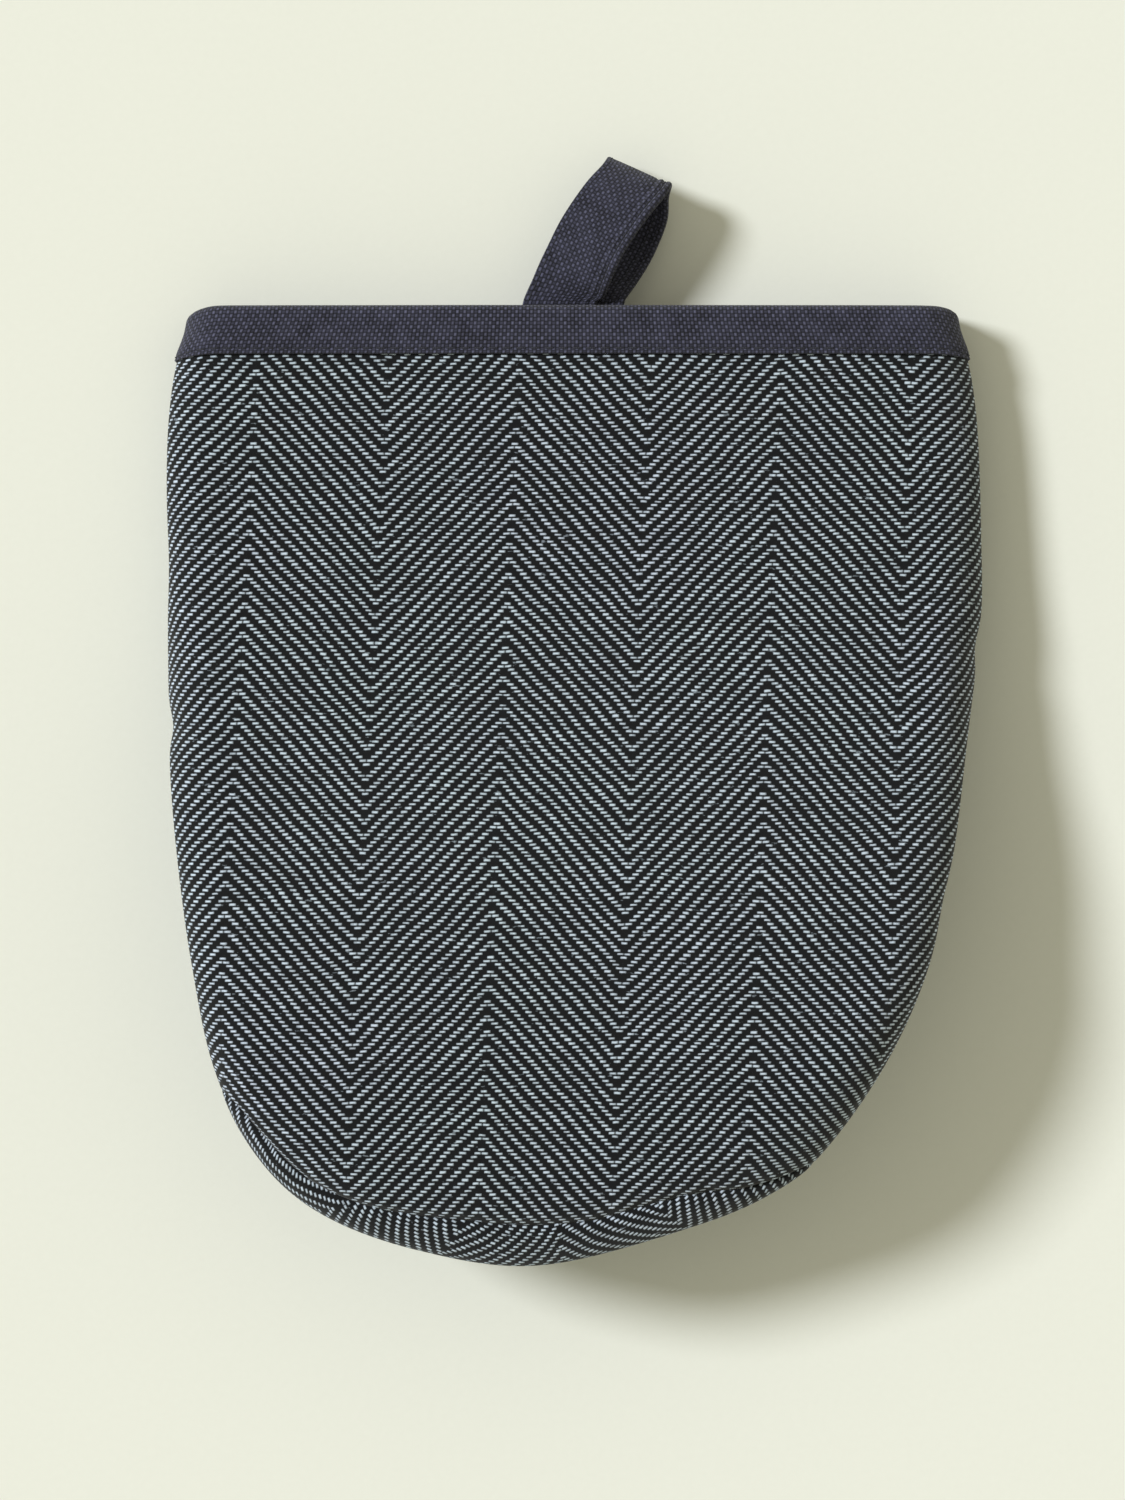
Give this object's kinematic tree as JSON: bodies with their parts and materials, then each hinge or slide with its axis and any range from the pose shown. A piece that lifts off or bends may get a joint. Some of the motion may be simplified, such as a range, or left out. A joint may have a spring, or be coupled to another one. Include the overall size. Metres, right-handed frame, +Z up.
{
  "type": "oven mitt",
  "caption": "Short padded oven mitt with a finger jaw and a thumb jaw that pinch together, a bound wrist opening and a hanging loop of tape.",
  "frame": {"origin": "middle of the footprint, on the surface that the mitt lies on", "axes": "+Z up out of that surface, +Y from the finger tip to the hanging loop, +X to the right seen from above"},
  "size_m": [0.1638, 0.2229, 0.0464],
  "materials": {
    "herringbone_cloth": "herringbone weave, pale blue on near black",
    "wadding": "soft felted wadding",
    "lining": "plain woven lining",
    "binding_canvas": "dark canvas tape",
    "loop_tape": "dark folded tape",
    "thread": "twisted sewing thread"
  },
  "bodies": {
    "mitt": {"back_panel": "herringbone_cloth", "back_wadding": "wadding", "back_lining": "lining", "finger_grip_panel": "herringbone_cloth", "finger_grip_wadding": "wadding", "finger_grip_lining": "lining", "palm_panel": "herringbone_cloth", "palm_wadding": "wadding", "palm_lining": "lining", "palm_bend_panel": "herringbone_cloth", "palm_bend_wadding": "wadding", "palm_bend_lining": "lining", "side_seam_stitching": "thread", "finger_seam_stitching": "thread", "wrist_binding": "binding_canvas", "binding_stitching": "thread", "loop_tails": "loop_tape", "loop_bar_tack": "thread"},
    "thumb_jaw": {"thumb_panel": "herringbone_cloth", "thumb_wadding": "wadding", "thumb_lining": "lining", "thumb_grip_panel": "herringbone_cloth", "thumb_grip_wadding": "wadding", "thumb_grip_lining": "lining", "thumb_seam_stitching": "thread"},
    "loop": {"hanging_loop": "loop_tape", "loop_stitching_left": "thread", "loop_stitching_right": "thread"}
  },
  "joints": [
    {"name": "jaw_hinge", "type": "hinge", "parent": "mitt", "child": "thumb_jaw", "pos_m": [0, 0.008, 0.004], "axis": [1, 0, 0], "range_deg": [-4, 50], "stiffness_Nm_per_rad": 0.25, "deforming": ["palm_bend_panel", "palm_bend_wadding", "palm_bend_lining"]},
    {"name": "loop_hinge", "type": "hinge", "parent": "mitt", "child": "loop", "pos_m": [0, 0.0823, 0.01075], "axis": [1, 0, 0], "range_deg": [-35, 35], "stiffness_Nm_per_rad": 0.01}
  ]
}
